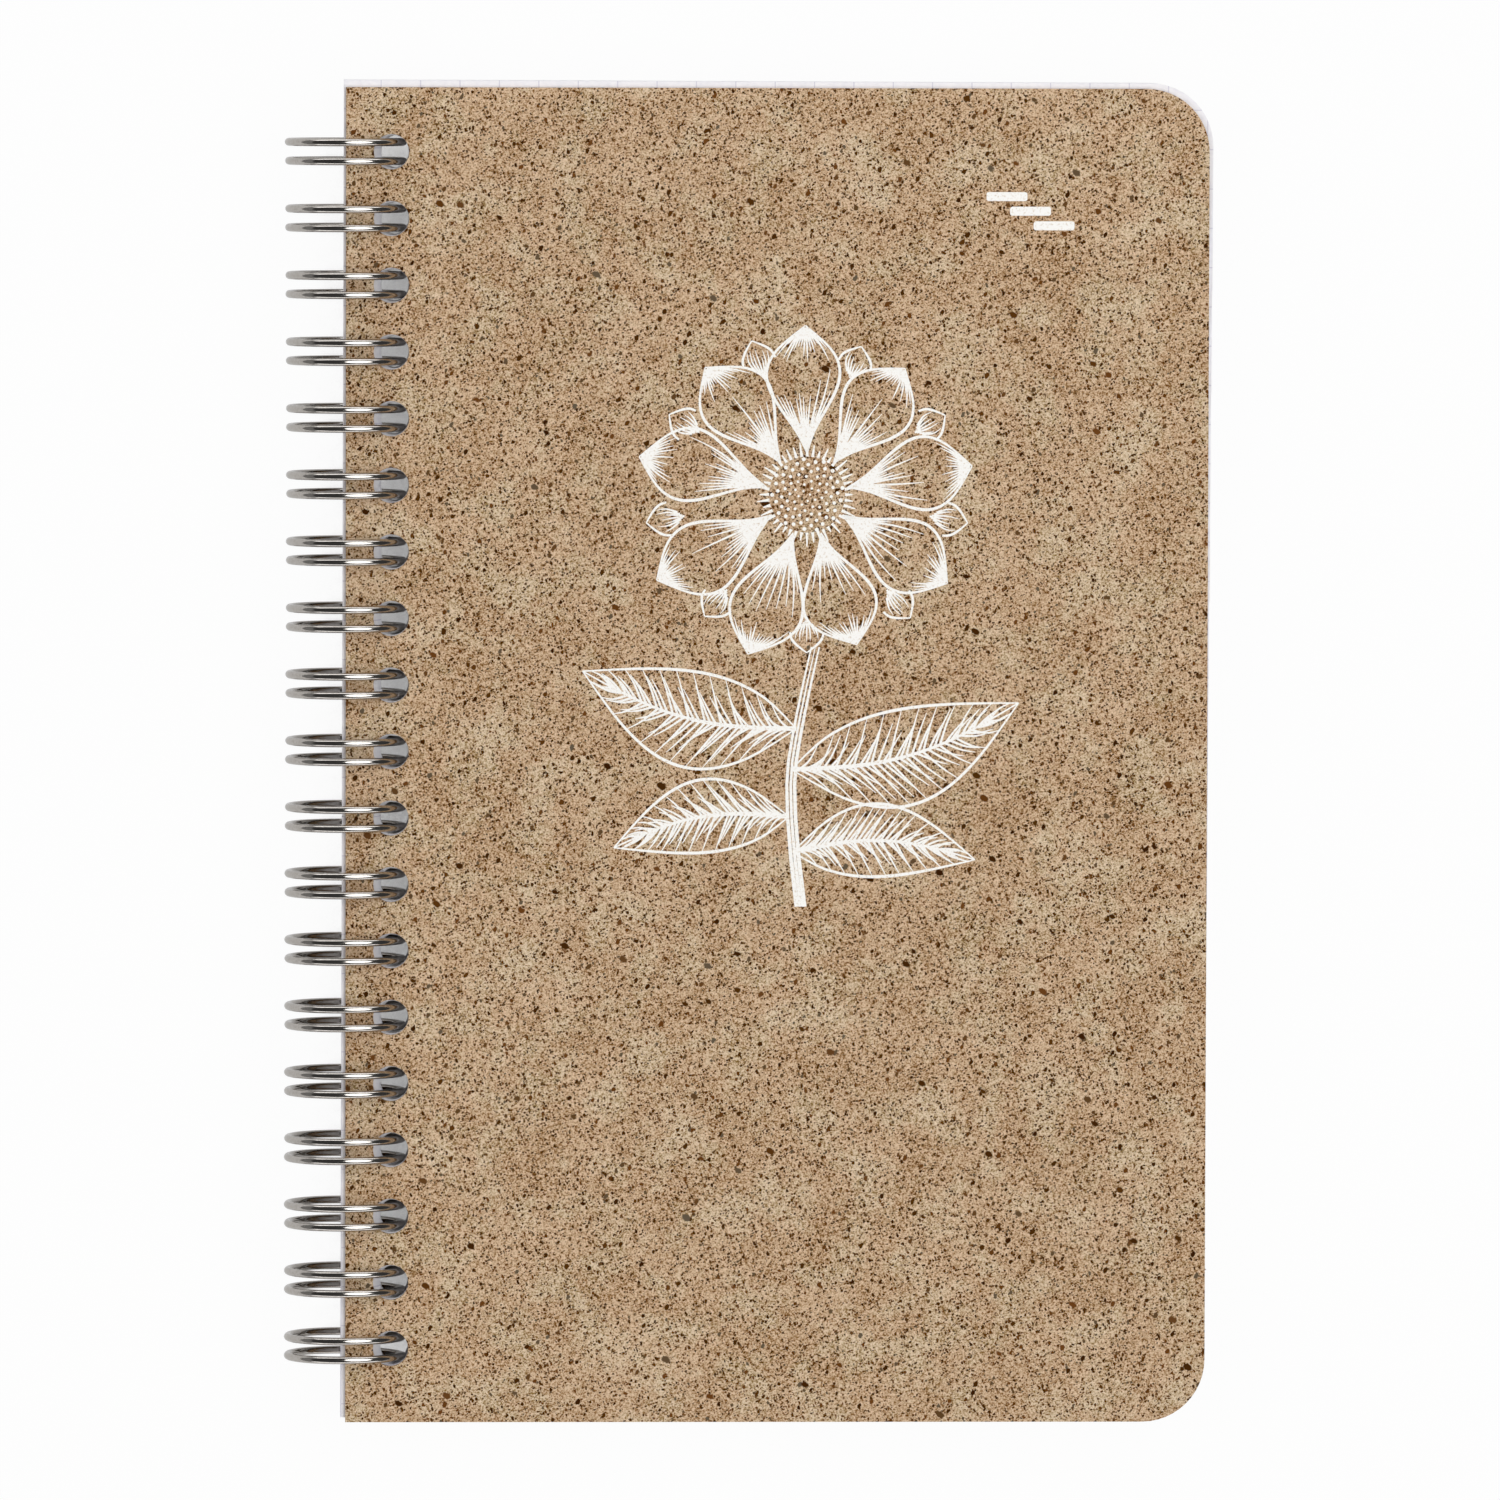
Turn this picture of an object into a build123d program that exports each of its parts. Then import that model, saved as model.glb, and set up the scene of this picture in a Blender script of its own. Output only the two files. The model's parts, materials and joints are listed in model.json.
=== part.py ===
from build123d import *
import math
import os

# A pocket address book: two kraft boards and lettered sections of leaves on a twin-loop wire.
# X runs from the spine to the fore edge, Y towards the head, Z up out of the front cover.
# The origin is under the middle of the closed book, on the surface that it lies on.

# Covers
COVER_WIDTH = 110.0
COVER_HEIGHT = 170.0
COVER_THICKNESS = 0.55
CORNER_RADIUS = 8.0

# Leaves, which stand a little proud of the covers on three sides
HEAD_OVERHANG = 0.8
SPINE_OVERHANG = 0.25
FORE_OVERHANG = 0.45
FOOT_SETBACK = 0.45
LEAF_THICKNESS = 0.1
LEAVES_PER_SECTION = 4
SHEET_GAP = 0.1

# Stepped index: each section keeps its full width down to the foot of its own tab
SECTIONS = ("ab", "cd", "ef", "gh", "ij", "kl", "mn", "op", "qr", "st", "uv", "wx", "yz")
TAB_DEPTH = 7.0

# Twin-loop wire, three loops to the inch
WIRE_DIAMETER = 1.0
RING_RADIUS = 6.75
LOOP_PITCH = 25.4 / 3
TWIN_SPACING = 2.4
BEND_RADIUS = 1.0
SEAM_LEAD = 20.0
SEAM_GAP = 0.7
END_MARGIN = 7.0
HOLE_CLEARANCE = 0.2
AXIS_CLEARANCE = 0.08

# Round forms are drawn in straight steps, and the wire with a four-sided section
COVER_HOLE_SIDES = 16
ARM_STEPS = 24

# The stack, from the back cover up, centred on the axis of the rings
section_thickness = LEAVES_PER_SECTION * LEAF_THICKNESS
stack_height = (
    2 * COVER_THICKNESS
    + len(SECTIONS) * section_thickness
    + (len(SECTIONS) + 1) * SHEET_GAP
)
ring_z = RING_RADIUS + WIRE_DIAMETER / 2
back_cover_z = ring_z - stack_height / 2
front_cover_z = ring_z + stack_height / 2 - COVER_THICKNESS

# Places along X: every spine edge lies just to the fore-edge side of the axis, so all sheets can turn over
leaf_width = COVER_WIDTH + SPINE_OVERHANG + FORE_OVERHANG
ring_x = (ring_z - AXIS_CLEARANCE - leaf_width) / 2
leaf_spine_x = ring_x + AXIS_CLEARANCE
cover_spine_x = leaf_spine_x + SPINE_OVERHANG
leaf_fore_x = leaf_spine_x + leaf_width

# Places along Y: the row of holes is in the middle of the leaves
leaf_height = COVER_HEIGHT + HEAD_OVERHANG - FOOT_SETBACK
cover_foot_y = -(COVER_HEIGHT + HEAD_OVERHANG) / 2
leaf_foot_y = cover_foot_y + FOOT_SETBACK
row_y = leaf_foot_y + leaf_height / 2
loop_count = int((COVER_HEIGHT - 2 * END_MARGIN) // LOOP_PITCH) + 1
tab_height = leaf_height / len(SECTIONS)

# The holes let both wires of a loop through every sheet, where the ring curves most at the covers
stack_exit = math.asin(stack_height / 2 / RING_RADIUS)
ring_sag = RING_RADIUS * (1 - math.cos(stack_exit))
hole_x = ring_x + RING_RADIUS - ring_sag / 2
hole_reach_x = ring_sag / 2 + WIRE_DIAMETER / 2 / math.cos(stack_exit)
hole_reach_y = (TWIN_SPACING + WIRE_DIAMETER) / 2
hole_diameter = 2 * (math.hypot(hole_reach_x, hole_reach_y) + HOLE_CLEARANCE)

# The wire's loops start below the back cover and run round to the seam beside their own start
ring_centre = Vector(ring_x, row_y, ring_z)
base_angle = -math.degrees(stack_exit) - SEAM_LEAD
seam_length = BEND_RADIUS + TWIN_SPACING / 2 + SEAM_GAP
tip_angle = 360 + base_angle - math.degrees(seam_length / RING_RADIUS)


def radial(angle):
    """Direction from the axis of the rings, in degrees from the fore edge upwards."""
    turn = math.radians(angle)
    return Vector(math.cos(turn), 0, math.sin(turn))


def arm_point(step, radius):
    """Point of a loop's arm in its own plane, after a number of equal bends from the base."""
    turn = math.radians(base_angle + step * (tip_angle - base_angle) / ARM_STEPS)
    return (radius * math.cos(turn), radius * math.sin(turn))


def least_seam_gap(steps=24):
    """Least distance between the wire's surfaces at the seam, on points along its centre line."""
    tip, base = [], []
    for step in range(steps + 1):
        turn = math.pi * step / steps
        along = TWIN_SPACING / 2 * math.sin(turn)
        across = TWIN_SPACING / 2 * math.cos(turn)
        tip.append(radial(tip_angle) * RING_RADIUS + radial(tip_angle + 90) * along + Vector(0, across, 0))
        turn = turn / 2
        along = BEND_RADIUS * math.sin(turn)
        across = TWIN_SPACING / 2 + BEND_RADIUS * (1 - math.cos(turn))
        base.append(radial(base_angle) * RING_RADIUS - radial(base_angle + 90) * along + Vector(0, across, 0))
    return min((a - b).length for a in tip for b in base) - WIRE_DIAMETER


def flat_ring(span, bend):
    """A flat ring of wire with its long sides 2 * bend apart, each corner bent in two equal turns."""
    two_turn_cut = 2 - math.sqrt(2)
    with BuildSketch() as ring:
        Rectangle(2 * bend + WIRE_DIAMETER, span + WIRE_DIAMETER)
        chamfer(ring.vertices(), (bend + WIRE_DIAMETER / 2) * two_turn_cut)
        Rectangle(2 * bend - WIRE_DIAMETER, span - WIRE_DIAMETER, mode=Mode.SUBTRACT)
        chamfer(ring.vertices(Select.LAST), (bend - WIRE_DIAMETER / 2) * two_turn_cut)
    return ring.sketch


os.makedirs("parts", exist_ok=True)

# Covers: board with rounded fore-edge corners and one round hole for each loop
for cover_name, cover_z in (("back_cover", back_cover_z), ("front_cover", front_cover_z)):
    with BuildPart() as cover:
        with BuildSketch(Plane.XY.offset(cover_z)) as outline:
            with Locations((cover_spine_x, cover_foot_y)):
                Rectangle(COVER_WIDTH, COVER_HEIGHT, align=(Align.MIN, Align.MIN))
            fillet(outline.vertices().group_by(Axis.X)[-1], CORNER_RADIUS)
            with Locations((hole_x, row_y)):
                with GridLocations(0, LOOP_PITCH, 1, loop_count):
                    RegularPolygon(
                        hole_diameter / 2,
                        COVER_HOLE_SIDES,
                        major_radius=False,
                        mode=Mode.SUBTRACT,
                    )
        extrude(amount=COVER_THICKNESS)
    cover.part.label = cover_name
    export_step(cover.part, f"parts/{cover_name}.step")

# Sections: four leaves each, cut back at the fore edge below their own tab, with four-sided holes
for place, letters in enumerate(SECTIONS):
    section_z = front_cover_z - (place + 1) * (section_thickness + SHEET_GAP)
    cut_height = leaf_height - (place + 1) * tab_height
    with BuildPart() as section:
        with BuildSketch(Plane.XY.offset(section_z)) as outline:
            with Locations((leaf_spine_x, leaf_foot_y)):
                Rectangle(leaf_width, leaf_height, align=(Align.MIN, Align.MIN))
            fillet(outline.vertices().group_by(Axis.X)[-1], CORNER_RADIUS)
            if letters != SECTIONS[-1]:
                with Locations((leaf_fore_x, leaf_foot_y)):
                    Rectangle(TAB_DEPTH, cut_height, align=(Align.MAX, Align.MIN), mode=Mode.SUBTRACT)
            with Locations((hole_x, row_y)):
                with GridLocations(0, LOOP_PITCH, 1, loop_count):
                    Rectangle(hole_diameter, hole_diameter, mode=Mode.SUBTRACT)
        extrude(amount=section_thickness)
    section.part.label = f"section_{letters}"
    export_step(section.part, f"parts/section_{letters}.step")

# Wire: the arms of all loops bent round the axis, closed in pairs at their tips and linked at their bases
row_length = LOOP_PITCH * (loop_count - 1)
arm_planes = []
for loop in range(loop_count):
    loop_y = row_y - row_length / 2 + loop * LOOP_PITCH
    for arm_y in (loop_y - TWIN_SPACING / 2, loop_y + TWIN_SPACING / 2):
        arm_planes.append(Plane((ring_x, arm_y, ring_z), x_dir=(1, 0, 0), z_dir=(0, -1, 0)))
arm_outer = [arm_point(step, RING_RADIUS + WIRE_DIAMETER / 2) for step in range(ARM_STEPS + 1)]
arm_inner = [arm_point(step, RING_RADIUS - WIRE_DIAMETER / 2) for step in range(ARM_STEPS, -1, -1)]
tip_plane = Plane(
    ring_centre + radial(tip_angle) * RING_RADIUS,
    x_dir=radial(tip_angle + 90),
    z_dir=-radial(tip_angle),
)
link_plane = Plane(
    ring_centre + radial(base_angle) * RING_RADIUS,
    x_dir=-radial(base_angle + 90),
    z_dir=radial(base_angle),
)
tip_ring = flat_ring(TWIN_SPACING, TWIN_SPACING / 2)
link_ring = flat_ring(LOOP_PITCH - TWIN_SPACING, BEND_RADIUS)
with BuildPart() as wire_binding:
    with BuildSketch(*arm_planes):
        with BuildLine():
            Polyline(*arm_outer, *arm_inner, close=True)
        make_face()
    extrude(amount=WIRE_DIAMETER / 2, both=True)
    with BuildSketch(tip_plane):
        with GridLocations(0, LOOP_PITCH, 1, loop_count):
            add(tip_ring)
        Rectangle(LOOP_PITCH, row_length + LOOP_PITCH, align=(Align.MAX, Align.CENTER), mode=Mode.SUBTRACT)
    extrude(amount=WIRE_DIAMETER / 2, both=True)
    with BuildSketch(link_plane):
        with GridLocations(0, LOOP_PITCH, 1, loop_count - 1):
            add(link_ring)
        Rectangle(LOOP_PITCH, row_length + LOOP_PITCH, align=(Align.MAX, Align.CENTER), mode=Mode.SUBTRACT)
        with GridLocations(0, row_length + TWIN_SPACING, 1, 2):
            Rectangle(WIRE_DIAMETER, WIRE_DIAMETER, align=(Align.MIN, Align.CENTER))
    extrude(amount=WIRE_DIAMETER / 2, both=True)
wire_binding.part.label = "wire_binding"
export_step(wire_binding.part, "parts/wire_binding.step")

print("loops", loop_count, "hole diameter", round(hole_diameter, 2), "stack", round(stack_height, 2))
print("least gap of the wire to itself", round(least_seam_gap(), 2))
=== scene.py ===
import json
import math
import random

import bmesh
import bpy
from mathutils import Matrix, Vector


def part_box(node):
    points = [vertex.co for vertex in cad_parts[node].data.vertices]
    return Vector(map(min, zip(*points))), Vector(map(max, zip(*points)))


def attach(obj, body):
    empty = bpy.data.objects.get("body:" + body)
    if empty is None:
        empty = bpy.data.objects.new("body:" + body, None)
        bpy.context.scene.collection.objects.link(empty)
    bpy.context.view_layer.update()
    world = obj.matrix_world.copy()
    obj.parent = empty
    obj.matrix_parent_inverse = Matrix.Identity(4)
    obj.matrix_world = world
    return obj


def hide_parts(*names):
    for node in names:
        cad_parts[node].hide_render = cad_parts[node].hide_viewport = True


# A wire-bound pocket address book, in metres: X from the spine to the fore edge, Y towards the head, Z up.
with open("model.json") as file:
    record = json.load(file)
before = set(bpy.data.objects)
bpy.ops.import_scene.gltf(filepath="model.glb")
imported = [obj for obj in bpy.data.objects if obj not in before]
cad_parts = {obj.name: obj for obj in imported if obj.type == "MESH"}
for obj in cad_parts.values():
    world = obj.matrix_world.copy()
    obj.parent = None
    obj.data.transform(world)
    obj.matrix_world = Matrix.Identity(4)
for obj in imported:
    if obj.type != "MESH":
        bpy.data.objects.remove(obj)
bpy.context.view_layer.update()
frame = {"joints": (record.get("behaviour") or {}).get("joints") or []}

# Back cover. A board of recycled pulp with ground husk in it, die-cut with round fore-edge corners and
# punched with one round hole for each loop of the wire. It lies loose on the wire under the leaves.
MM = 0.001
LOOP_COUNT = 19
LOOP_PITCH = 25.4 / 3 * MM
BOARD_HOLE_RADIUS = 2.25 * MM
HOLE_SIDES = 24
HOLE_FROM_AXIS = 6.42 * MM
BOARD_SPINE_TRIM = 0.32 * MM
CORNER_RADIUS = 8 * MM
CORNER_STEPS = 12
BOARD_EDGE_WEAR = 0.09 * MM
RIM_ANGLE = math.radians(60)
SHARP_FROM = math.radians(35)
SAME_SPOT = 0.001 * MM
ON_EDGE = 0.01 * MM

# Every joint of the book turns on the axis of the rings
ring_axis = Vector(frame["joints"][0]["pos_m"])
wire_low, wire_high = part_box("wire_binding")
row_y = (wire_low.y + wire_high.y) / 2
first_y = row_y - LOOP_PITCH * (LOOP_COUNT - 1) / 2


def linear(colour):
    """An sRGB hex colour as linear RGBA."""
    channels = [int(colour[i:i + 2], 16) / 255 for i in (1, 3, 5)]
    return [c / 12.92 if c <= 0.04045 else ((c + 0.055) / 1.055) ** 2.4 for c in channels] + [1.0]


def add_node(material, kind, inputs, stops=(), **settings):
    """Adds a shader node with its settings, its inputs as sockets or constants, and a ramp's stops in
    rising order."""
    node = material.node_tree.nodes.new("ShaderNode" + kind)
    for name, value in settings.items():
        setattr(node, name, value)
    for socket, value in inputs.items():
        if isinstance(value, bpy.types.NodeSocket):
            material.node_tree.links.new(value, node.inputs[socket])
        else:
            node.inputs[socket].default_value = value
    for number, (place, colour) in enumerate(stops):
        if number > 1:
            node.color_ramp.elements.new(place)
        node.color_ramp.elements[number].position = place
        node.color_ramp.elements[number].color = linear(colour)
    return node


def new_finish(name):
    """A new material with no nodes but the one that gives Object coordinates."""
    material = bpy.data.materials.new(name)
    material.use_nodes = True
    material.node_tree.nodes.clear()
    return material, add_node(material, "TexCoord", {}).outputs["Object"]


def punched_sheet(low, high, hole_x, hole_radius, tab_foot=None, tab_depth=0):
    """A flat sheet with the row of wire holes, cut back by tab_depth along the fore edge below tab_foot."""
    # A square cell round the first hole, repeated along the spine
    sheet = bmesh.new()
    side = HOLE_SIDES // 4
    first = Vector((hole_x, first_y, low.z))
    here = Matrix.Translation(first)
    bmesh.ops.create_grid(sheet, x_segments=side, y_segments=side, size=LOOP_PITCH / 2, matrix=here)
    bmesh.ops.delete(sheet, geom=sheet.faces[:], context="FACES_KEEP_BOUNDARY")
    bmesh.ops.create_circle(sheet, segments=HOLE_SIDES, radius=hole_radius,
                            matrix=here @ Matrix.Rotation(math.pi / 4, 4, "Z"))
    bmesh.ops.bridge_loops(sheet, edges=sheet.edges[:])
    cell = sheet.verts[:] + sheet.edges[:] + sheet.faces[:]
    bmesh.ops.spin(sheet, geom=cell, cent=first, axis=(0, 0, 1), dvec=(0, LOOP_PITCH, 0), angle=0,
                   steps=LOOP_COUNT - 1, use_duplicate=True)
    bmesh.ops.remove_doubles(sheet, verts=sheet.verts, dist=SAME_SPOT)
    # The foot, head, spine and fore-edge margins, each drawn out from the row of cells to the sheet's edge
    body_fore = high.x - tab_depth
    for across, edge_from, edge_to in (
        (1, first_y - LOOP_PITCH / 2, low.y),
        (1, 2 * row_y - first_y + LOOP_PITCH / 2, high.y),
        (0, hole_x - LOOP_PITCH / 2, low.x),
        (0, hole_x + LOOP_PITCH / 2, body_fore),
    ):
        rim = [e for e in sheet.edges if all(abs(v.co[across] - edge_from) < ON_EDGE for v in e.verts)]
        grown = bmesh.ops.extrude_edge_only(sheet, edges=rim)["geom"]
        for vert in grown:
            if isinstance(vert, bmesh.types.BMVert):
                vert.co[across] = edge_to
        margin = [f for f in sheet.faces if any(abs(v.co[across] - edge_to) < ON_EDGE for v in f.verts)]
        bmesh.ops.dissolve_faces(sheet, faces=margin, use_verts=True)
    # The part of the fore edge above tab_foot, drawn out as a tab
    if tab_depth:
        fore_edge = max(sheet.edges, key=lambda e: min(v.co.x for v in e.verts) + e.calc_length())
        upper = max(fore_edge.verts, key=lambda v: v.co.y)
        tab_share = (high.y - tab_foot) / fore_edge.calc_length()
        tab_edge = bmesh.utils.edge_split(fore_edge, upper, tab_share)[0]
        grown = bmesh.ops.extrude_edge_only(sheet, edges=[tab_edge])["geom"]
        bmesh.ops.translate(sheet, verts=[v for v in grown if isinstance(v, bmesh.types.BMVert)],
                            vec=(tab_depth, 0, 0))
        margin = [f for f in sheet.faces if any(v.co.x > body_fore - ON_EDGE for v in f.verts)]
        bmesh.ops.dissolve_faces(sheet, faces=margin, use_verts=True)
    # Round corners at the fore edge, and then the sheet's thickness
    corners = [v for v in sheet.verts if v.co.x > high.x - ON_EDGE
               and (v.co.y > high.y - ON_EDGE or v.co.y < low.y + ON_EDGE)]
    bmesh.ops.bevel(sheet, geom=corners, offset=CORNER_RADIUS, segments=CORNER_STEPS, profile=0.5,
                    affect="VERTICES", material=-1)
    raised = bmesh.ops.extrude_face_region(sheet, geom=sheet.faces[:])["geom"]
    bmesh.ops.translate(sheet, verts=[v for v in raised if isinstance(v, bmesh.types.BMVert)],
                        vec=(0, 0, high.z - low.z))
    bmesh.ops.recalc_face_normals(sheet, faces=sheet.faces)
    return sheet


def board(node):
    """A cover's board, with its cut edges worn a little round."""
    low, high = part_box(node)
    low.x += BOARD_SPINE_TRIM
    sheet = punched_sheet(low, high, ring_axis.x + HOLE_FROM_AXIS, BOARD_HOLE_RADIUS)
    rims = [e for e in sheet.edges if e.calc_face_angle(0) > RIM_ANGLE
            and abs(e.verts[0].co.z - e.verts[1].co.z) < SAME_SPOT]
    bmesh.ops.bevel(sheet, geom=rims, offset=BOARD_EDGE_WEAR, segments=2, profile=0.5, affect="EDGES",
                    material=-1)
    return sheet


def make_piece(shape, name, finish, body):
    """Turns a finished bmesh into a named piece that moves with a body."""
    mesh = bpy.data.meshes.new(name)
    for face in shape.faces:
        face.smooth = True
    shape.to_mesh(mesh)
    shape.free()
    mesh.set_sharp_from_angle(angle=SHARP_FROM)
    mesh.materials.append(finish)
    piece = bpy.data.objects.new(name, mesh)
    bpy.context.scene.collection.objects.link(piece)
    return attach(piece, body)


# Kraft board, uncoated and calendered: a grainy tan ground with paler, creamy patches, peppered all through
# with crumbs of husk in dark brown, red-brown and grey-brown. The grain is drawn a little coarser than real
# pulp, so that it shows. Crumbs are (spacing, share of places that hold one, turn), from the finest up.
PULP_GRAIN = 0.22 * MM
GRAIN_RELIEF = 0.03 * MM
CLOUD = 9 * MM
CLOUD_SHARE = 0.24
PATCH = 6 * MM
PATCH_RIM = 0.47
PATCH_CORE = 0.62
CRUMBS = ((0.3 * MM, 0.625, 0.4), (0.52 * MM, 0.49, 1.9), (0.95 * MM, 0.395, 1.1), (2.0 * MM, 0.29, 2.6))
CRUMB_SHAPE = Vector((1.2, 0.85, 1.0))
CRUMB_RIM = 0.06
CRUMB_RAGGEDNESS = 0.45 * MM
CRUMB_BEND = Vector((0.46, 0.46, 0.46)) * MM
kraft_board, board_place = new_finish("kraft_board")
patch_noise = add_node(kraft_board, "TexNoise", {"Vector": board_place, "Scale": 1 / PATCH, "Detail": 3.0,
                                                 "Roughness": 0.65})
grain = add_node(kraft_board, "TexNoise", {"Vector": board_place, "Scale": 1 / PULP_GRAIN, "Detail": 1.0,
                                           "Roughness": 0.8})
cloud = add_node(kraft_board, "TexNoise", {"Vector": board_place, "Scale": 1 / CLOUD, "Detail": 4.0,
                                           "Roughness": 0.75})
pulp = add_node(kraft_board, "Math", {0: cloud.outputs["Fac"], 1: CLOUD_SHARE, 2: grain.outputs["Fac"]},
                operation="MULTIPLY_ADD")
cream = add_node(kraft_board, "ValToRGB", {"Fac": pulp.outputs[0]},
                 stops=[(0.42, "#735829"), (0.5, "#9c8156"), (0.58, "#bca485"), (0.69, "#d1bca0"),
                        (0.85, "#e2cdb1")])
tan = add_node(kraft_board, "ValToRGB", {"Fac": pulp.outputs[0]},
               stops=[(0.42, "#6a441a"), (0.5, "#946f46"), (0.58, "#b39574"), (0.69, "#ccb092"),
                      (0.85, "#ddc1a3")])
patch = add_node(kraft_board, "MapRange", {"Value": patch_noise.outputs["Fac"], "From Min": PATCH_RIM,
                                           "From Max": PATCH_CORE})
# A mix of colours takes its factor at socket 0 and its colours at 6 and 7, and gives the result at 2
board_colour = add_node(kraft_board, "Mix", {0: patch.outputs[0], 6: tan.outputs["Color"],
                                             7: cream.outputs["Color"]}, data_type="RGBA").outputs[2]
bend = add_node(kraft_board, "TexNoise", {"Vector": board_place, "Scale": 1 / CRUMB_RAGGEDNESS, "Detail": 3.0,
                                          "Roughness": 0.75})
ragged = add_node(kraft_board, "VectorMath", {0: bend.outputs["Color"], 1: CRUMB_BEND, 2: board_place},
                  operation="MULTIPLY_ADD")
for spacing, share, turn in CRUMBS:
    lie = add_node(kraft_board, "Mapping", {"Vector": ragged.outputs[0], "Rotation": (0, 0, turn),
                                            "Scale": CRUMB_SHAPE * spacing}, vector_type="TEXTURE")
    crumbs = add_node(kraft_board, "TexVoronoi", {"Vector": lie.outputs[0], "Scale": 1.0})
    chance = add_node(kraft_board, "SeparateColor", {"Color": crumbs.outputs["Color"]}).outputs
    reach = add_node(kraft_board, "Math", {0: chance["Red"], 1: share - 1}, operation="ADD")
    inside = add_node(kraft_board, "Math", {0: reach.outputs[0], 1: crumbs.outputs["Distance"]},
                      operation="SUBTRACT")
    husk_share = add_node(kraft_board, "MapRange", {"Value": inside.outputs[0], "From Max": CRUMB_RIM})
    husk = add_node(kraft_board, "ValToRGB", {"Fac": chance["Green"]},
                    stops=[(0.0, "#321600"), (0.4, "#4c2c08"), (0.65, "#683e1a"), (0.88, "#5a4024"),
                           (1.0, "#605444")])
    board_colour = add_node(kraft_board, "Mix", {0: husk_share.outputs[0], 6: board_colour,
                                                 7: husk.outputs["Color"]}, data_type="RGBA").outputs[2]
board_relief = add_node(kraft_board, "Bump", {"Strength": 0.35, "Distance": GRAIN_RELIEF,
                                              "Height": pulp.outputs[0]})
board_shader = add_node(kraft_board, "BsdfPrincipled", {"Base Color": board_colour, "Roughness": 0.85,
                                                        "Specular IOR Level": 0.05,
                                                        "Normal": board_relief.outputs[0]})
add_node(kraft_board, "OutputMaterial", {"Surface": board_shader.outputs[0]})

back_board = make_piece(board("back_cover"), "back_board", kraft_board, "back_cover")
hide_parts("back_cover")

# Leaves. White offset paper ruled in 5 mm squares to the trimmed edge, gathered in sections of four, punched
# like the boards, and cut back at the fore edge below each section's own letters. They hang on the curve of
# the wire, so the holes of the middle ones lie further in, and the block was trimmed a little askew to them.
SECTIONS = ("ab", "cd", "ef", "gh", "ij", "kl", "mn", "op", "qr", "st", "uv", "wx", "yz")
LEAVES_PER_SECTION = 4
LEAF_THICKNESS = 0.085 * MM
TAB_DEPTH = 7 * MM
RING_RADIUS = 6.75 * MM
RULING = 5 * MM
RULE_WIDTH = 0.14 * MM
FIRST_RULE = 1.9 * MM
TICK_SLANT = 0.16
LEAF_HOLE_RADIUS = 2.12 * MM
LEAF_HOLE_PLAY = 0.5 * MM
SPINE_TRIM = 0.14 * MM
FORE_TRIM = 0.11 * MM
BLOCK_SKEW = math.radians(-0.12)
LOOSENESS = 0.03 * MM
CELL_MARGIN = 0.01

# Offset paper, machine-finished: a cool white, faintly mottled by its fibres, with rules in pale grey ink.
# The upright rules step a little from leaf to leaf, so that their ticks on the cut edges run aslant.
FIBRE_CLUMP = 0.7 * MM
FIBRE_RELIEF = 0.01 * MM
offset_paper, paper_place = new_finish("offset_paper")
paper_axes = add_node(offset_paper, "SeparateXYZ", {"Vector": paper_place}).outputs
slant = add_node(offset_paper, "Math", {0: paper_axes["Z"], 1: TICK_SLANT, 2: paper_axes["X"]},
                 operation="MULTIPLY_ADD")
row_from = add_node(offset_paper, "Math", {0: paper_axes["Y"], 1: FIRST_RULE}, operation="SUBTRACT")
to_column = add_node(offset_paper, "Math", {0: slant.outputs[0], 1: RULING / 2}, operation="PINGPONG")
to_row = add_node(offset_paper, "Math", {0: row_from.outputs[0], 1: RULING / 2}, operation="PINGPONG")
to_rule = add_node(offset_paper, "Math", {0: to_column.outputs[0], 1: to_row.outputs[0]}, operation="MINIMUM")
on_rule = add_node(offset_paper, "Math", {0: to_rule.outputs[0], 1: RULE_WIDTH / 2}, operation="LESS_THAN")
fibres = add_node(offset_paper, "TexNoise", {"Vector": paper_place, "Scale": 1 / FIBRE_CLUMP, "Detail": 3.0})
bare_paper = add_node(offset_paper, "ValToRGB", {"Fac": fibres.outputs["Fac"]},
                      stops=[(0.3, "#ecebf0"), (0.7, "#f4f3f6")])
paper_colour = add_node(offset_paper, "Mix", {0: on_rule.outputs[0], 6: bare_paper.outputs["Color"],
                                              7: linear("#d8d6e1")}, data_type="RGBA")
paper_relief = add_node(offset_paper, "Bump", {"Strength": 0.2, "Distance": FIBRE_RELIEF,
                                               "Height": fibres.outputs["Fac"]})
paper_shader = add_node(offset_paper, "BsdfPrincipled", {"Base Color": paper_colour.outputs[2],
                                                         "Roughness": 0.75, "Specular IOR Level": 0.25,
                                                         "Normal": paper_relief.outputs[0]})
add_node(offset_paper, "OutputMaterial", {"Surface": paper_shader.outputs[0]})

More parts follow.
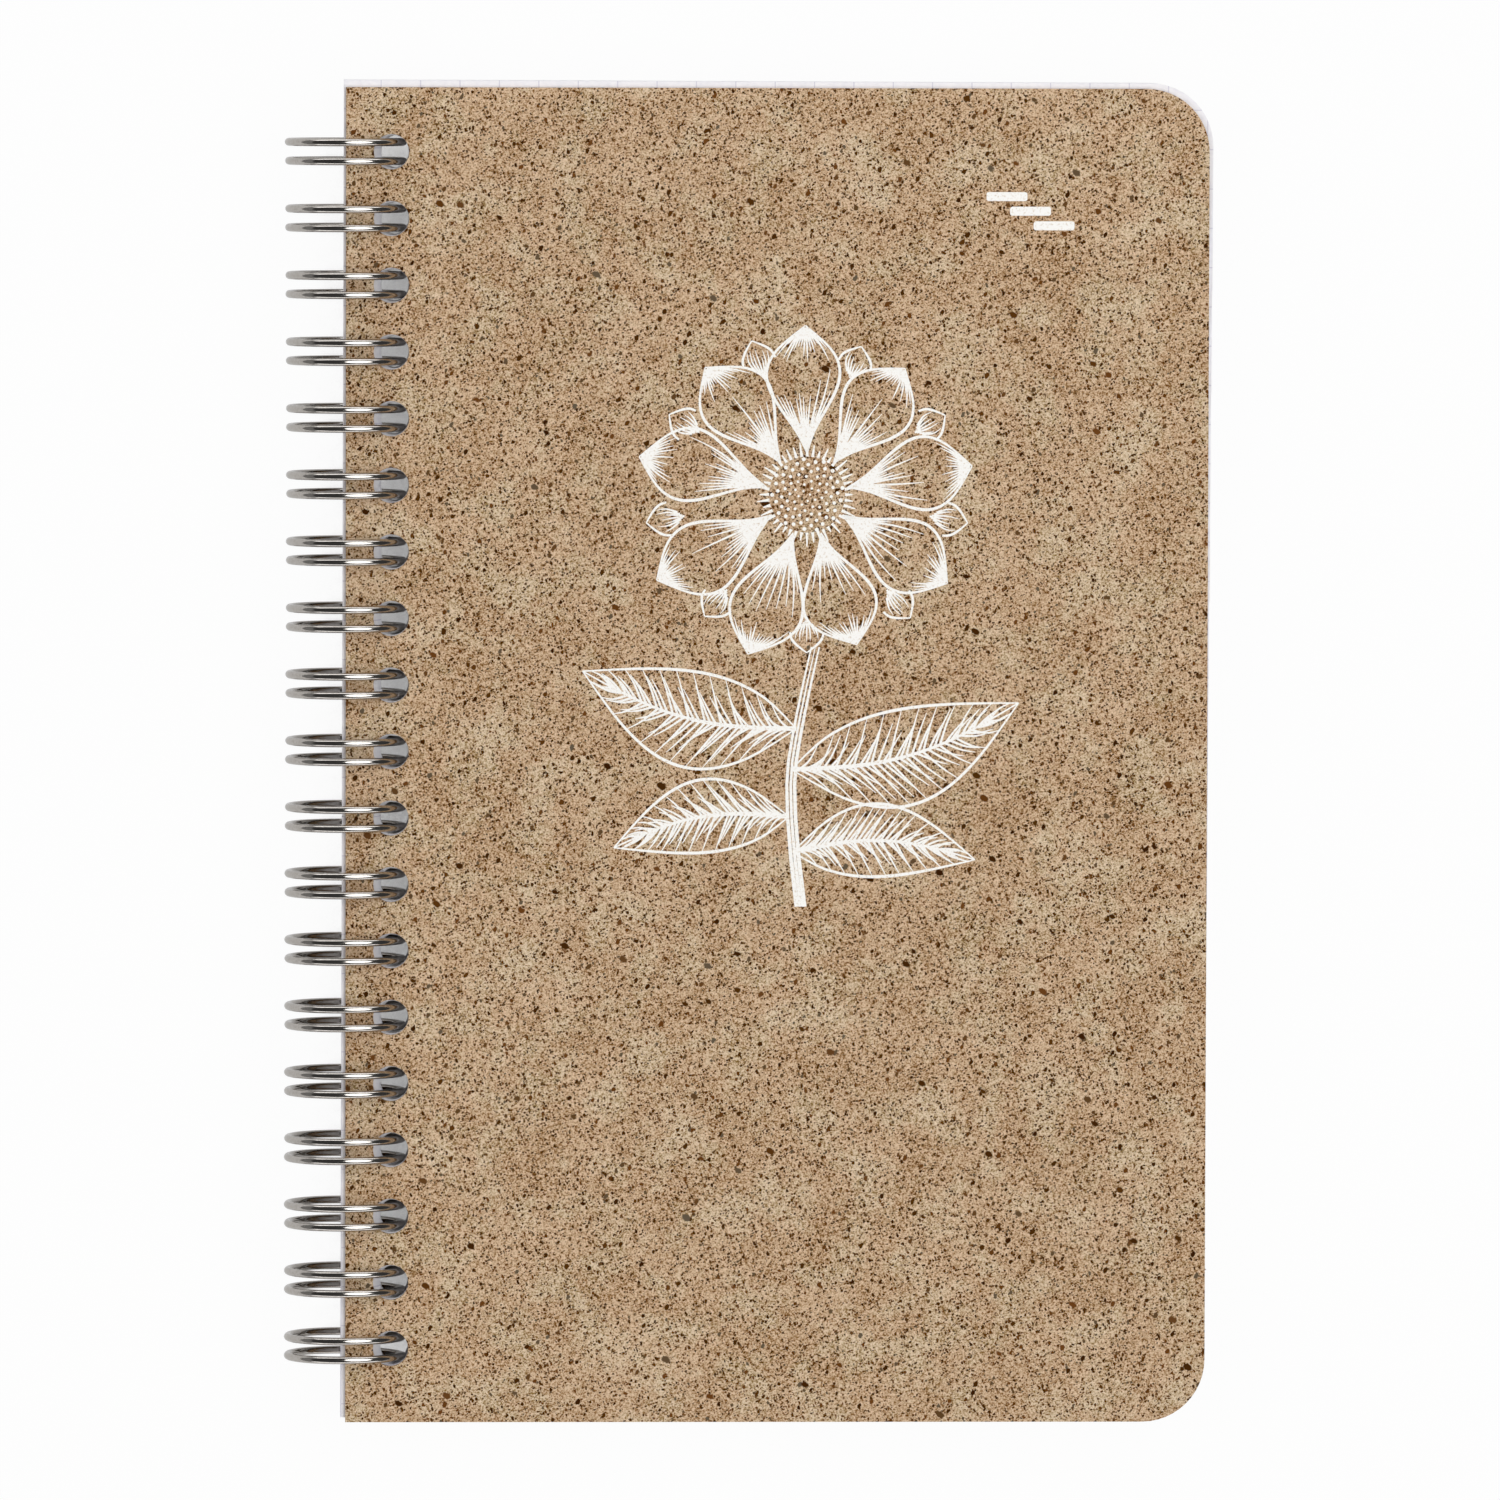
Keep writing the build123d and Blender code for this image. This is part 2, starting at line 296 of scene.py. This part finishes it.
# The trimmed outline turns with the block, and the punched cells stay in line with the wire
hang = random.Random(11)
row_half = (LOOP_COUNT / 2 + CELL_MARGIN) * LOOP_PITCH
cell_half = (1 / 2 + CELL_MARGIN) * LOOP_PITCH
section_tops = {}
for place, letters in enumerate(SECTIONS):
    low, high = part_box("section_" + letters)
    above_axis = (low.z + high.z) / 2 - ring_axis.z
    hole_x = ring_axis.x + math.sqrt(RING_RADIUS ** 2 - above_axis ** 2) + LEAF_HOLE_PLAY
    tab_height = (high.y - low.y) / len(SECTIONS)
    tab_foot = high.y - (place + 1) * tab_height
    leaf_low = low + Vector((SPINE_TRIM, 0, 0))
    leaf_high = Vector((high.x - FORE_TRIM, high.y, low.z + LEAF_THICKNESS))
    if letters == SECTIONS[-1]:
        leaves = punched_sheet(leaf_low, leaf_high, hole_x, LEAF_HOLE_RADIUS)
    else:
        leaves = punched_sheet(leaf_low, leaf_high, hole_x, LEAF_HOLE_RADIUS, tab_foot, TAB_DEPTH)
    leaf = leaves.verts[:] + leaves.edges[:] + leaves.faces[:]
    bmesh.ops.spin(leaves, geom=leaf, cent=low, axis=(0, 0, 1), angle=0, steps=LEAVES_PER_SECTION - 1,
                   dvec=(0, 0, (high.z - low.z) / LEAVES_PER_SECTION), use_duplicate=True)
    slip = (hang.uniform(-LOOSENESS, LOOSENESS), hang.uniform(-LOOSENESS, LOOSENESS), 0)
    outline = [v for v in leaves.verts if abs(v.co.x - hole_x) > cell_half or abs(v.co.y - row_y) > row_half]
    bmesh.ops.rotate(leaves, verts=outline, cent=(low + high) / 2, matrix=Matrix.Rotation(BLOCK_SKEW, 3, "Z"))
    bmesh.ops.translate(leaves, verts=leaves.verts, vec=slip)
    section_tops[letters] = Vector((high.x - TAB_DEPTH / 2, tab_foot + tab_height / 2,
                                    max(v.co.z for v in leaves.verts)))
    section = make_piece(leaves, "leaves_" + letters, offset_paper, "section_" + letters)
    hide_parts("section_" + letters)

# Index letters. Two plain capitals on the tab of each section, in one brown-grey ink. They are printed on the
# section's first leaf before the tabs are cut.
LETTER_HEIGHT = 2.9 * MM
CAPITAL_SHARE = 0.7
INK_HEIGHT = 0.012 * MM
INK_MOTTLE = 0.4 * MM

# Offset ink, soaked into the paper: matt and a little uneven.
offset_ink, ink_place = new_finish("offset_ink")
ink_noise = add_node(offset_ink, "TexNoise", {"Vector": ink_place, "Scale": 1 / INK_MOTTLE, "Detail": 2.0})
ink_colour = add_node(offset_ink, "ValToRGB", {"Fac": ink_noise.outputs["Fac"]},
                      stops=[(0.3, "#5c4a3a"), (0.75, "#7a6754")])
ink_shader = add_node(offset_ink, "BsdfPrincipled", {"Base Color": ink_colour.outputs["Color"],
                                                     "Roughness": 0.7, "Specular IOR Level": 0.25})
add_node(offset_ink, "OutputMaterial", {"Surface": ink_shader.outputs[0]})

for letters in SECTIONS:
    lettering = bpy.data.curves.new("index_" + letters, "FONT")
    lettering.body = letters.upper()
    lettering.size = LETTER_HEIGHT / CAPITAL_SHARE
    lettering.align_x = "CENTER"
    lettering.align_y = "CENTER"
    lettering.resolution_u = 4
    lettering.extrude = INK_HEIGHT / 2
    capitals = bmesh.new()
    capitals.from_mesh(bpy.data.meshes.new_from_object(bpy.data.objects.new("lettering", lettering)))
    bmesh.ops.remove_doubles(capitals, verts=capitals.verts, dist=SAME_SPOT)
    bmesh.ops.translate(capitals, verts=capitals.verts, vec=section_tops[letters])
    bmesh.ops.recalc_face_normals(capitals, faces=capitals.faces)
    make_piece(capitals, "index_" + letters, offset_ink, "section_" + letters)

# Front cover. The same die-cut and punched board as the back one, on top of the leaves. It hangs on the wire
# alone, and turns over on it.
cover_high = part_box("front_cover")[1]
front_board = make_piece(board("front_cover"), "front_board", kraft_board, "front_cover")
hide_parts("front_cover")

# Cover print. A wild flower on its stem, drawn in swelling and thinning lines like an engraving, and a small
# sign of three stepped bars. Both are screen-printed on the front board in one opaque white. Places on a
# petal or leaf are shares of its length and half width, and a line's weights are shares of its width.
LINE_HALF_WIDTH = 0.17 * MM
BLOOM = Vector((7.5, 33.0)) * MM
DISC_RADIUS = 5.2 * MM
PETALS = 9
PETAL_REACH = (20 * MM, 22 * MM)
PETAL_WIDTH = 9.6 * MM
PETAL_BOW = 0.7 * MM
PETAL_TURN = 0.05
PETAL_FULLNESS = 1.5
PETAL_OUTLINE = (0.5, 0.9, 1.0, 1.1, 1.2, 1.1, 1.0, 0.8, 0.5)
PETAL_HATCHES = 15
HATCH_SPREAD = 0.84
ROOT_HATCH = (1.0, 0.9, 0.7, 0.2)
ROOT_HATCH_FROM = 0.02
ROOT_HATCH_TO = (0.2, 0.5)
EVERY_OTHER_LONGER = 0.18
TIP_HATCH = (0.6, 0.8, 0.6, 0.15)
TIP_HATCH_FROM = 0.985
TIP_HATCH_TO = (0.72, 0.86)
TIP_HATCH_SPREAD = 0.9
BACK_PETAL_FOOT = 15.4 * MM
BACK_PETAL_REACH = (20 * MM, 20.8 * MM)
BACK_PETAL_WIDTH = 4.3 * MM
BACK_PETAL_FULLNESS = 1.0
BACK_PETAL_OUTLINE = (0.8, 0.9, 1.0, 0.8, 0.5)
BACK_PETAL_SHOWS_FROM = 0.45
BACK_HATCHES = 7
BACK_HATCH_SPREAD = 0.75
BACK_HATCH = (0.8, 0.7, 0.5, 0.15)
BACK_HATCH_FROM = 0.08
BACK_HATCH_SHORTER = 0.2
BACK_HATCH_GATHER = 0.6
BACK_HATCH_TO = (0.5, 0.8)
STAMENS = 44
STAMEN_FOOT = 0.93
STAMEN_REACH = (1.08, 1.3)
STAMEN_WEIGHTS = (1.2, 1.0, 0.4)

pen = random.Random(5)
drawing = bpy.data.curves.new("drawing", "CURVE")
drawing.dimensions = "3D"
drawing.bevel_depth = LINE_HALF_WIDTH
drawing.bevel_resolution = 0
drawing.resolution_u = 3
drawing.use_fill_caps = True


def stroke(points, weights):
    """Draws one smooth line that follows points, with a weight at each that swells or thins it."""
    line = drawing.splines.new("NURBS")
    line.points.add(len(points) - 1)
    for spot, point, weight in zip(line.points, points, weights):
        spot.co = (point.x, point.y, 0, 1)
        spot.radius = weight
    line.order_u = 3
    line.use_endpoint_u = True


def blade_point(blade, along, across):
    """A point of a petal or leaf: along runs from its foot to its tip, across from one side to the other."""
    foot, tip, bow, width, fullness = blade
    run = tip - foot
    swell = math.sin(math.pi * along ** fullness)
    aside = bow * math.sin(math.pi * along) + across * width / 2 * swell
    return foot + run * along + run.orthogonal().normalized() * aside


def blade_stroke(blade, start, end, weights):
    """A line on a petal or leaf, between two places given as (along, across)."""
    steps = len(weights) - 1
    places = [Vector(start).lerp(Vector(end), step / steps) for step in range(steps + 1)]
    stroke([blade_point(blade, *place) for place in places], weights)


def ray(turn, length):
    """A point at a distance from the middle of the bloom."""
    return BLOOM + Vector((math.cos(turn), math.sin(turn))) * length


# The petals, with a row of narrow ones that show behind the gaps between them
for petal in range(PETALS):
    turn = math.radians(90) + 2 * math.pi * petal / PETALS
    tip = ray(turn + pen.uniform(-PETAL_TURN, PETAL_TURN), pen.uniform(*PETAL_REACH))
    front = (ray(turn, DISC_RADIUS), tip, pen.uniform(-PETAL_BOW, PETAL_BOW), PETAL_WIDTH, PETAL_FULLNESS)
    for side in (-1, 1):
        blade_stroke(front, (0, side), (1, side), PETAL_OUTLINE)
    for hatch in range(PETAL_HATCHES):
        across = HATCH_SPREAD * (2 * hatch / (PETAL_HATCHES - 1) - 1)
        root_end = pen.uniform(*ROOT_HATCH_TO) + EVERY_OTHER_LONGER * (hatch % 2)
        blade_stroke(front, (ROOT_HATCH_FROM, across), (root_end, across), ROOT_HATCH)
        tip_start = (TIP_HATCH_FROM, across * TIP_HATCH_SPREAD)
        blade_stroke(front, tip_start, (pen.uniform(*TIP_HATCH_TO), across), TIP_HATCH)
    turn += math.pi / PETALS
    tip = ray(turn, pen.uniform(*BACK_PETAL_REACH))
    back = (ray(turn, BACK_PETAL_FOOT), tip, 0, BACK_PETAL_WIDTH, BACK_PETAL_FULLNESS)
    for side in (-1, 1):
        blade_stroke(back, (BACK_PETAL_SHOWS_FROM, side), (1, side), BACK_PETAL_OUTLINE)
    for hatch in range(BACK_HATCHES):
        across = BACK_HATCH_SPREAD * (2 * hatch / (BACK_HATCHES - 1) - 1)
        start = (BACK_HATCH_FROM + BACK_HATCH_SHORTER * abs(across), across * BACK_HATCH_GATHER)
        blade_stroke(back, start, (pen.uniform(*BACK_HATCH_TO), across), BACK_HATCH)
for stamen in range(STAMENS):
    turn = 2 * math.pi * stamen / STAMENS
    shares = (STAMEN_FOOT, 1.0, pen.uniform(*STAMEN_REACH))
    stroke([ray(turn, DISC_RADIUS * share) for share in shares], STAMEN_WEIGHTS)

# The stem, three lines side by side, each (how far aside in millimetres, weights)
STEM = [Vector(p) * MM for p in ((8.6, 13.6), (6.4, 4.0), (5.0, -6.0), (6.8, -19.5))]
STEM_LINES = ((-0.5, (0.6, 1.0, 1.2, 1.6)), (0, (0.3, 0.9, 1.0, 1.4)), (0.5, (0.6, 1.2, 1.3, 1.6)))
for aside, weights in STEM_LINES:
    stroke([p + Vector((aside * MM, 0)) for p in STEM], weights)

# The stem's leaves, each (foot, tip, bow, width) in millimetres, with a midrib and side veins, of which
# every third reaches the edge
LEAF_FULLNESS = 0.85
MIDRIB = (1.8, 1.6, 1.4, 1.2, 1.0, 0.8, 0.5)
VEINS = 34
VEIN = (0.9, 0.8, 0.6, 0.25)
VEINS_FROM = 0.03
VEINS_SPREAD = 0.85
VEIN_LEAN = 0.11
LONG_VEIN = 0.96
SHORT_VEIN = (0.45, 0.85)
STEM_LEAVES = (
    ((6.2, 3.2), (-21.0, 10.5), 2.4, 12.5),
    ((5.6, -2.0), (34.5, 6.5), -2.6, 12.5),
    ((5.3, -8.0), (-17.0, -12.0), -2.0, 9.5),
    ((5.8, -12.5), (29.0, -13.5), 2.0, 9.5),
)
for foot, tip, bow, width in STEM_LEAVES:
    blade = (Vector(foot) * MM, Vector(tip) * MM, bow * MM, width * MM, LEAF_FULLNESS)
    blade_stroke(blade, (0, 0), (1, 0), MIDRIB)
    for side in (-1, 1):
        blade_stroke(blade, (0, side), (1, side), PETAL_OUTLINE)
        for vein in range(VEINS):
            along = VEINS_FROM + VEINS_SPREAD * vein / VEINS
            reach = LONG_VEIN if vein % 3 == 0 else pen.uniform(*SHORT_VEIN)
            blade_stroke(blade, (along, 0), (along + VEIN_LEAN, side * reach), VEIN)

# The lines as a mesh, pressed flat to the thickness of the ink
white_print = bmesh.new()
white_print.from_mesh(bpy.data.meshes.new_from_object(bpy.data.objects.new("drawing", drawing)))
bmesh.ops.scale(white_print, vec=(1, 1, INK_HEIGHT / LINE_HALF_WIDTH), verts=white_print.verts)

# The disc's florets, each turned on from the last by the golden angle, and larger towards the rim
FLORETS = 80
FLORET_RADIUS = 0.14 * MM
FLORET_TOP_RADIUS = 0.12 * MM
FLORET_GROWTH = 0.14 * MM
FLORETS_REACH = 0.9
GOLDEN_ANGLE = math.pi * (3 - math.sqrt(5))
for floret in range(FLORETS):
    spread = math.sqrt((floret + 0.5) / FLORETS)
    spot = ray(floret * GOLDEN_ANGLE, DISC_RADIUS * FLORETS_REACH * spread)
    bmesh.ops.create_cone(white_print, segments=8, radius1=FLORET_RADIUS + FLORET_GROWTH * spread,
                          radius2=FLORET_TOP_RADIUS + FLORET_GROWTH * spread, depth=2 * INK_HEIGHT,
                          cap_ends=True, matrix=Matrix.Translation((spot.x, spot.y, 0)))

# The stepped bars, each lower and further to the fore edge than the last
BARS = 3
BAR = Vector((5.2, 1.15)) * MM
BAR_ROUNDING = 0.3 * MM
BAR_STEP = Vector((3.0, -1.85)) * MM
BARS_FROM = Vector((32.8, 70.9)) * MM
for bar in range(BARS):
    middle = BARS_FROM + BAR_STEP * bar
    block = bmesh.ops.create_cube(white_print, size=1, matrix=Matrix.Translation((middle.x, middle.y, 0))
                                  @ Matrix.Diagonal((BAR.x, BAR.y, 2 * INK_HEIGHT, 1)))["verts"]
    uprights = {e for v in block for e in v.link_edges if abs(e.verts[0].co.z - e.verts[1].co.z) > INK_HEIGHT}
    bmesh.ops.bevel(white_print, geom=list(uprights), offset=BAR_ROUNDING, segments=4, profile=0.5,
                    affect="EDGES", material=-1)
bmesh.ops.translate(white_print, verts=white_print.verts, vec=(0, 0, cover_high.z))
bmesh.ops.recalc_face_normals(white_print, faces=white_print.faces)

# Screen ink, thick and matt: white, thinner in specks where the board's grain stands up through it.
INK_SPECK = 0.3 * MM
screen_ink, print_place = new_finish("screen_ink")
ink_specks = add_node(screen_ink, "TexNoise", {"Vector": print_place, "Scale": 1 / INK_SPECK, "Detail": 2.0,
                                               "Roughness": 0.7})
ink_white = add_node(screen_ink, "ValToRGB", {"Fac": ink_specks.outputs["Fac"]},
                     stops=[(0.28, "#d9cbb9"), (0.46, "#f8f6f2")])
print_shader = add_node(screen_ink, "BsdfPrincipled", {"Base Color": ink_white.outputs["Color"],
                                                       "Roughness": 0.65, "Specular IOR Level": 0.3})
add_node(screen_ink, "OutputMaterial", {"Surface": print_shader.outputs[0]})
make_piece(white_print, "cover_print", screen_ink, "front_cover")

# Wire. One length of bright tinned steel, bent to and fro into twin loops, put through the holes and
# closed round the spine, so that each loop's tip lies against the links between the loops.
WIRE_RADIUS = 0.5 * MM
TWIN_SPACING = 2.4 * MM
BEND_RADIUS = 1.0 * MM
BASE_ANGLE = math.radians(-54.78)
TIP_ANGLE = math.radians(280.61)
WIRE_SIDES = 16
ARM_STEPS = 60
TIP_STEPS = 12
LINK_STEPS = 6
FREE_END = 1.0 * MM
WELD_WITHIN = 0.01 * MM


def ring_direction(angle):
    """Direction from the axis of the rings, from the fore edge upwards."""
    return Vector((math.cos(angle), 0, math.sin(angle)))


def ring_point(angle, y):
    """Point on a ring's centre line."""
    return Vector((ring_axis.x, y, ring_axis.z)) + ring_direction(angle) * RING_RADIUS


def bent(wire, end, centre, axis, angle, steps):
    """Bends the wire on from its end through an angle about an axis, and gives the new end."""
    return bmesh.ops.spin(wire, geom=end, cent=centre, axis=axis, angle=angle, steps=steps)["geom_last"]


def run_on(wire, end, step):
    """Runs the wire straight on from its end, and gives the new end."""
    edges = [g for g in end if isinstance(g, bmesh.types.BMEdge)]
    grown = bmesh.ops.extrude_edge_only(wire, edges=edges)["geom"]
    bmesh.ops.translate(wire, verts=[g for g in grown if isinstance(g, bmesh.types.BMVert)], vec=step)
    return [g for g in grown if not isinstance(g, bmesh.types.BMFace)]


def cut_end(wire, y):
    """A wire's round cut end, at the base of a loop's arm."""
    along = ring_direction(BASE_ANGLE + math.pi / 2)
    facing = Matrix((ring_direction(BASE_ANGLE), (0, 1, 0), along)).transposed()
    place = Matrix.Translation(ring_point(BASE_ANGLE, y)) @ facing.to_4x4()
    ring = bmesh.ops.create_circle(wire, segments=WIRE_SIDES, radius=WIRE_RADIUS, matrix=place)["verts"]
    return ring + list({edge for vert in ring for edge in vert.link_edges})


def repeated(wire, shape, count):
    """Copies a shape along the spine, a loop's pitch apart."""
    bmesh.ops.spin(wire, geom=shape, axis=(0, 0, 1), angle=0, dvec=(0, LOOP_PITCH, 0), steps=count - 1,
                   use_duplicate=True)


last_y = first_y + LOOP_PITCH * (LOOP_COUNT - 1)
sweep = TIP_ANGLE - BASE_ANGLE
round_spine = Vector((0, -1, 0))
base_out = ring_direction(BASE_ANGLE)
link_from = first_y + TWIN_SPACING / 2 + BEND_RADIUS
link_to = first_y + LOOP_PITCH - TWIN_SPACING / 2 - BEND_RADIUS

# One loop, repeated along the spine
wire = bmesh.new()
arm = bent(wire, cut_end(wire, first_y - TWIN_SPACING / 2), ring_axis, round_spine, sweep, ARM_STEPS)
arm = bent(wire, arm, ring_point(TIP_ANGLE, first_y), ring_direction(TIP_ANGLE), -math.pi, TIP_STEPS)
bent(wire, arm, ring_axis, round_spine, -sweep, ARM_STEPS)
repeated(wire, wire.verts[:] + wire.edges[:] + wire.faces[:], LOOP_COUNT)

# One link from a loop to the next, repeated between all the loops, and the wire's two free ends
loops = set(wire.verts)
link = bent(wire, cut_end(wire, first_y + TWIN_SPACING / 2), ring_point(BASE_ANGLE, link_from), base_out,
            math.pi / 2, LINK_STEPS)
link = run_on(wire, link, (0, link_to - link_from, 0))
bent(wire, link, ring_point(BASE_ANGLE, link_to), base_out, math.pi / 2, LINK_STEPS)
links = [g for g in wire.verts[:] + wire.edges[:] + wire.faces[:]
         if g not in loops and (isinstance(g, bmesh.types.BMVert) or not loops & set(g.verts))]
repeated(wire, links, LOOP_COUNT - 1)
for free_y in (first_y - TWIN_SPACING / 2, last_y + TWIN_SPACING / 2):
    run_on(wire, cut_end(wire, free_y), ring_direction(BASE_ANGLE - math.pi / 2) * FREE_END)
bmesh.ops.remove_doubles(wire, verts=wire.verts, dist=WELD_WITHIN)
bmesh.ops.holes_fill(wire, edges=[e for e in wire.edges if e.is_boundary], sides=WIRE_SIDES)
bmesh.ops.recalc_face_normals(wire, faces=wire.faces)

# Closing the wire has pressed its arms unevenly: each is a little flat towards the spine, most near one loop
# in the upper half, and all bulge the other way, from some way below the middle upwards
PRESS_LEAST = 0.008
PRESS_MOST = 0.03
PRESS_VARIES = 0.006
PRESS_LOOP = 13
PRESS_SPREAD = 4.5
BULGE = 0.16
BULGE_FADE = 4 * MM
press = random.Random(3)
arm_press = [PRESS_LEAST + PRESS_MOST * math.exp(-((number / 2 - PRESS_LOOP) / PRESS_SPREAD) ** 2)
             + press.uniform(0, PRESS_VARIES) for number in range(2 * LOOP_COUNT)]
for vert in wire.verts:
    from_axis = vert.co - ring_axis
    if from_axis.x < 0:
        along = vert.co.y - first_y
        number = round(along / LOOP_PITCH) * 2 + ((along + LOOP_PITCH / 2) % LOOP_PITCH > LOOP_PITCH / 2)
        vert.co.x -= from_axis.x * arm_press[number]
    else:
        vert.co.x += from_axis.x * BULGE * min(1, max(0, 1 + from_axis.z / BULGE_FADE))

# Tinned steel, drawn and bent: a clean grey metal with a slightly warm cast, marked a little by the die. The
# marks are drawn coarser than real ones, so that they show.
DRAW_MARK = 0.35 * MM
tinned_steel, wire_place = new_finish("tinned_steel")
draw_marks = add_node(tinned_steel, "TexNoise", {"Vector": wire_place, "Scale": 1 / DRAW_MARK, "Detail": 2.0})
wire_colour = add_node(tinned_steel, "ValToRGB", {"Fac": draw_marks.outputs["Fac"]},
                       stops=[(0.3, "#b2ada7"), (0.7, "#c1bcb7")])
wire_gloss = add_node(tinned_steel, "MapRange", {"Value": draw_marks.outputs["Fac"], "From Min": 0.3,
                                                 "From Max": 0.7, "To Min": 0.14, "To Max": 0.1})
wire_shader = add_node(tinned_steel, "BsdfPrincipled", {"Base Color": wire_colour.outputs["Color"],
                                                        "Metallic": 1.0, "Roughness": wire_gloss.outputs[0]})
add_node(tinned_steel, "OutputMaterial", {"Surface": wire_shader.outputs[0]})

wire_piece = make_piece(wire, "twin_loop_wire", tinned_steel, "wire_binding")
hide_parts("wire_binding")

# Studio. A pale sheet to lie on, a large round soft light from the fore-edge side, a fill from the spine side
# that the wire doesn't mirror, pale cards low down at the head, foot and spine, and a long lens high above
# that leans a little towards the head and the spine.
FLOOR_HALF = 4.0

# White paper sheet: the camera sees it as plain white, but for the shade close round the book, and the wire
# mirrors it less white.
SHEET_WHITE = 0.96
SHEET_MIRRORED = 0.4
SHADE_REACH = 20 * MM
SHADE_WHITE = 0.12
SHADE_OPENNESS = 0.16
white_sheet = new_finish("white_sheet")[0]
sheet_diffuse = add_node(white_sheet, "BsdfDiffuse", {"Color": linear("#d4d4d4")})
sheet_glow = add_node(white_sheet, "Emission", {"Color": (1, 1, 1, 1), "Strength": 1.0})
path = add_node(white_sheet, "LightPath", {}).outputs
openness = add_node(white_sheet, "AmbientOcclusion", {"Distance": SHADE_REACH}, samples=8)
whiteness = add_node(white_sheet, "MapRange", {"Value": openness.outputs["AO"], "From Max": SHADE_OPENNESS,
                                               "To Min": SHADE_WHITE, "To Max": SHEET_WHITE})
in_wire = add_node(white_sheet, "Math", {0: path["Is Glossy Ray"], 1: SHEET_MIRRORED}, operation="MULTIPLY")
seen = add_node(white_sheet, "Math", {0: path["Is Camera Ray"], 1: in_wire.outputs[0]}, operation="MAXIMUM")
seen_at_all = add_node(white_sheet, "Math", {0: seen.outputs[0], 1: path["Is Transmission Ray"]},
                       operation="MAXIMUM")
glow_share = add_node(white_sheet, "Math", {0: seen_at_all.outputs[0], 1: whiteness.outputs[0]},
                      operation="MULTIPLY")
sheet_shader = add_node(white_sheet, "MixShader", {0: glow_share.outputs[0], 1: sheet_diffuse.outputs[0],
                                                   2: sheet_glow.outputs[0]})
add_node(white_sheet, "OutputMaterial", {"Surface": sheet_shader.outputs[0]})
floor_shape = bmesh.new()
bmesh.ops.create_grid(floor_shape, x_segments=1, y_segments=1, size=FLOOR_HALF)
floor_mesh = bpy.data.meshes.new("floor")
floor_shape.to_mesh(floor_mesh)
floor_shape.free()
floor_mesh.materials.append(white_sheet)
floor = bpy.data.objects.new("floor", floor_mesh)
bpy.context.scene.collection.objects.link(floor)

# The lights and the camera look at the point of the front board in the middle of the view
VIEW_MIDDLE = Vector((0.315, 0.475)) * MM
aim = Vector((*VIEW_MIDDLE, cover_high.z))


def direction_from_zenith(towards_fore, towards_head):
    """Direction that leans from straight up, by degrees towards the fore edge and the head."""
    lean = [math.tan(math.radians(degrees)) for degrees in (towards_fore, towards_head)]
    return Vector((*lean, 1)).normalized()


def towards(back):
    """Turn of a lamp or camera that looks against a direction, with the head upwards in its view."""
    back = back.normalized()
    right = Vector((0, 1, 0)).cross(back).normalized()
    return Matrix((right, back.cross(right), back)).transposed().to_euler()


# Each light is (name, shape, direction, metres away, size in metres, watts, whether the wire mirrors it)
LIGHTS = (
    ("softbox", "ELLIPSE", direction_from_zenith(27, 4), 1.4, (1.13, 2.02), 15.9, True),
    ("fill", "ELLIPSE", direction_from_zenith(-38, 4), 1.4, (1.37, 2.02), 8.1, False),
    ("head_card", "RECTANGLE", direction_from_zenith(0, 76), 0.8, (1.4, 0.36), 3.0, True),
    ("foot_card", "RECTANGLE", direction_from_zenith(0, -76), 0.8, (1.4, 0.36), 2.5, True),
    ("spine_card", "RECTANGLE", direction_from_zenith(-78, 0), 0.8, (0.4, 1.6), 0.4, True),
)
for name, shape, direction, away, size, watts, mirrored in LIGHTS:
    lamp = bpy.data.lights.new(name, "AREA")
    lamp.shape = shape
    lamp.size, lamp.size_y = size
    lamp.energy = watts
    light = bpy.data.objects.new(name, lamp)
    light.location = aim + direction * away
    light.rotation_euler = towards(direction)
    light.visible_camera = False
    light.visible_glossy = mirrored
    bpy.context.scene.collection.objects.link(light)

WORLD_STRENGTH = 0.06
world = bpy.data.worlds.new("studio")
world.use_nodes = True
world.node_tree.nodes["Background"].inputs["Color"].default_value = (1, 1, 1, 1)
world.node_tree.nodes["Background"].inputs["Strength"].default_value = WORLD_STRENGTH
bpy.context.scene.world = world

CAMERA_AWAY = 1.7
CAMERA_LEAN = (-1.7, 3.2)
CAMERA_ROLL = math.radians(0.14)
FRAME_WIDTH = 190.85 * MM
SENSOR_WIDTH = 36
camera_data = bpy.data.cameras.new("camera")
camera_data.sensor_width = SENSOR_WIDTH
camera_data.lens = SENSOR_WIDTH * CAMERA_AWAY / FRAME_WIDTH
camera = bpy.data.objects.new("camera", camera_data)
camera.location = aim + direction_from_zenith(*CAMERA_LEAN) * CAMERA_AWAY
camera.rotation_euler = towards(camera.location - aim)
camera.rotation_euler.rotate_axis("Z", CAMERA_ROLL)
bpy.context.scene.collection.objects.link(camera)
bpy.context.scene.camera = camera
bpy.context.scene.view_settings.view_transform = "Standard"
